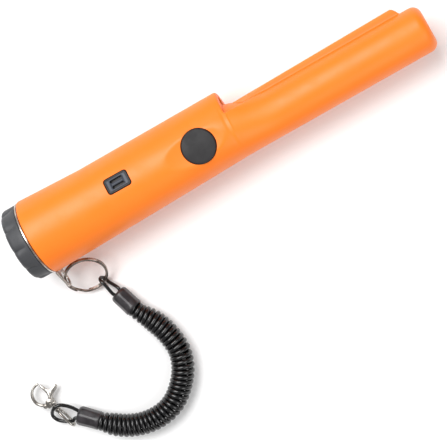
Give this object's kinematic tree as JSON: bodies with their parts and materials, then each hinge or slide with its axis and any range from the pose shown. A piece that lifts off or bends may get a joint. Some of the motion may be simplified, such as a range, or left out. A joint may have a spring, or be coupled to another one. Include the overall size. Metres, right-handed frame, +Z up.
{
  "type": "pinpointer probe",
  "caption": "Hand-held metal-detecting probe with a tapered handle, side fin and lamp, push button, screw-on battery cap, and a coiled lanyard with a snap hook.",
  "frame": {"origin": "on the surface the probe lies on, under the middle of the probe without its lanyard", "axes": "+X runs along the probe from the battery cap to the sensing tip, +Y is the side with the spine and fin, +Z is up through the push button"},
  "size_m": [0.2691, 0.1359, 0.04],
  "materials": {
    "orange_shell": "satin moulded",
    "clear_plastic": "clear",
    "button_rubber": "matte moulded",
    "black_plastic": "moulded",
    "grille_plastic": "fine texture",
    "foam": "closed-cell foam",
    "board_laminate": "solder mask",
    "blue_wrap": "shrink wrap",
    "plain_steel": "stamped",
    "nickel_plate": "plated",
    "ferrite": "sintered",
    "white_plastic": "moulded",
    "copper_wire": "enamelled copper winding",
    "red_insulation": "smooth",
    "cap_plastic": "moulded",
    "seal_rubber": "smooth",
    "cord_plastic": "smooth polyurethane",
    "sleeve_rubber": "satin"
  },
  "bodies": {
    "probe_body": {"housing": "orange_shell", "lamp_window": "clear_plastic", "sound_grille": "grille_plastic", "lamp_led": "clear_plastic", "tact_switch": "black_plastic", "sound_gasket": "foam", "sounder": "black_plastic", "circuit_board": "board_laminate", "processor_chip": "black_plastic", "amplifier_chip": "black_plastic", "tuning_capacitor": "blue_wrap", "filter_capacitor": "blue_wrap", "vibration_motor": "plain_steel", "motor_bracket": "black_plastic", "ferrite_rod": "ferrite", "coil_former": "white_plastic", "transmit_coil": "copper_wire", "receive_coil": "copper_wire", "tip_foam": "foam", "rear_foam": "foam", "coil_lead_red": "red_insulation", "coil_lead_white": "white_plastic", "battery": "blue_wrap", "battery_stud_plus": "plain_steel", "battery_stud_minus": "plain_steel", "battery_snap": "black_plastic", "battery_lead_red": "red_insulation", "battery_lead_black": "black_plastic"},
    "button": {"button": "button_rubber"},
    "switch_plunger": {"switch_plunger": "black_plastic"},
    "motor_weight": {"motor_weight": "nickel_plate"},
    "cap_seal": {"cap_seal_ring": "seal_rubber"},
    "battery_cap": {"battery_cap": "cap_plastic", "cap_foam": "foam"},
    "strap_ring": {"strap_ring": "plain_steel"},
    "split_ring": {"split_ring": "nickel_plate"},
    "lanyard": {"upper_cord_loop": "cord_plastic", "upper_sleeve": "sleeve_rubber", "lanyard_coil": "cord_plastic", "lower_sleeve": "sleeve_rubber", "lower_cord_loop": "cord_plastic"},
    "swivel_eye": {"swivel_eye": "nickel_plate"},
    "hook": {"hook_body": "nickel_plate", "gate_rivet": "nickel_plate", "gate_spring": "plain_steel"},
    "gate": {"hook_gate": "nickel_plate"}
  },
  "joints": [
    {"name": "button_press", "type": "slide", "parent": "probe_body", "child": "button", "axis": [0, 0, -1], "range_m": [0, 0.0008], "stiffness_N_per_m": 1500},
    {"name": "switch_press", "type": "slide", "parent": "probe_body", "child": "switch_plunger", "axis": [0, 0, -1], "range_m": [0, 0.00036]},
    {"name": "motor_spin", "type": "hinge", "parent": "probe_body", "child": "motor_weight", "pos_m": [-0.01795, -0.0045, 0.015], "axis": [1, 0, 0], "continuous": true},
    {"name": "cap_travel", "type": "slide", "parent": "probe_body", "child": "cap_seal", "axis": [-1, 0, 0], "range_m": [0, 0.006]},
    {"name": "cap_unscrew", "type": "hinge", "parent": "cap_seal", "child": "battery_cap", "pos_m": [-0.10465, 0, 0.02], "axis": [-1, 0, 0], "range_deg": [0, 721]},
    {"name": "strap_ring_turn", "type": "hinge", "parent": "probe_body", "child": "strap_ring", "pos_m": [-0.1054, 0, 0.02], "axis": [-1, 0, 0], "range_deg": [0, 150]},
    {"name": "split_ring_swing", "type": "hinge", "parent": "strap_ring", "child": "split_ring", "pos_m": [-0.10485, -0.0249, 0.01191], "axis": [-0.4556, -0.6848, -0.5687], "range_deg": [0, 60]},
    {"name": "lanyard_swing", "type": "hinge", "parent": "split_ring", "child": "lanyard", "pos_m": [-0.08999, -0.03621, 0.00376], "axis": [-0.8575, -0.3787, -0.3481], "range_deg": [0, 70]},
    {"name": "eye_swing", "type": "hinge", "parent": "lanyard", "child": "swivel_eye", "pos_m": [-0.1453, -0.08072, 0.0039], "axis": [0, 0, 1], "range_deg": [-12, 2]},
    {"name": "hook_swivel", "type": "hinge", "parent": "swivel_eye", "child": "hook", "pos_m": [-0.14515, -0.0812, 0.0039], "axis": [-0.2924, 0.9563, 0], "continuous": true},
    {"name": "gate_open", "type": "hinge", "parent": "hook", "child": "gate", "pos_m": [-0.14619, -0.07712, 0.0039], "axis": [0, 0, 1], "range_deg": [0, 20], "stiffness_Nm_per_rad": 0.02}
  ],
  "couplings": [
    {"joint": "switch_press", "follows": "button_press", "ratio": 0.4375},
    {"joint": "cap_unscrew", "follows": "cap_travel", "rad_per_m": 2094.4}
  ]
}
